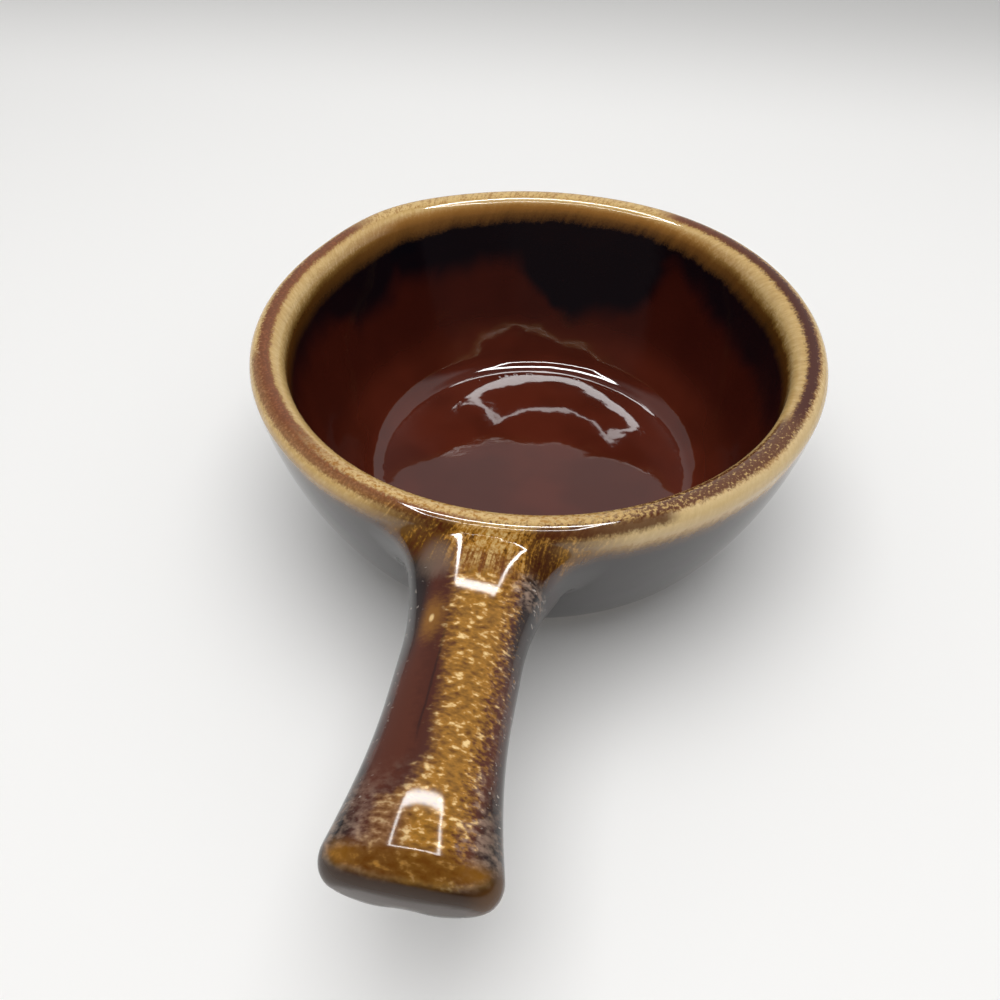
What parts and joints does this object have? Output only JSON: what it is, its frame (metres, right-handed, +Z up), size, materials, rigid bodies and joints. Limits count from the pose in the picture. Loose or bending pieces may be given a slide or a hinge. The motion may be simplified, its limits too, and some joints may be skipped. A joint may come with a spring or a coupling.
{
  "type": "handled soup bowl",
  "caption": "Round glazed stoneware soup bowl with a rolled lip, a foot ring and a single solid stick handle for serving hot food.",
  "frame": {"origin": "centre of the foot ring's bearing face, on the table", "axes": "+Z up along the bowl's axis, +X along the handle, away from the bowl"},
  "size_m": [0.196, 0.133, 0.052],
  "materials": {
    "stoneware": "bare fired clay",
    "brown_glaze": "glossy",
    "dark_glaze": "glossy",
    "tan_glaze": "glossy"
  },
  "bodies": {
    "root": {"bowl_body": "stoneware", "handle": "stoneware", "handle_slip": "stoneware", "liner_glaze": "brown_glaze", "outer_glaze": "dark_glaze", "base_glaze": "brown_glaze", "rim_glaze": "tan_glaze", "handle_glaze": "dark_glaze", "handle_drip": "tan_glaze"}
  },
  "joints": []
}
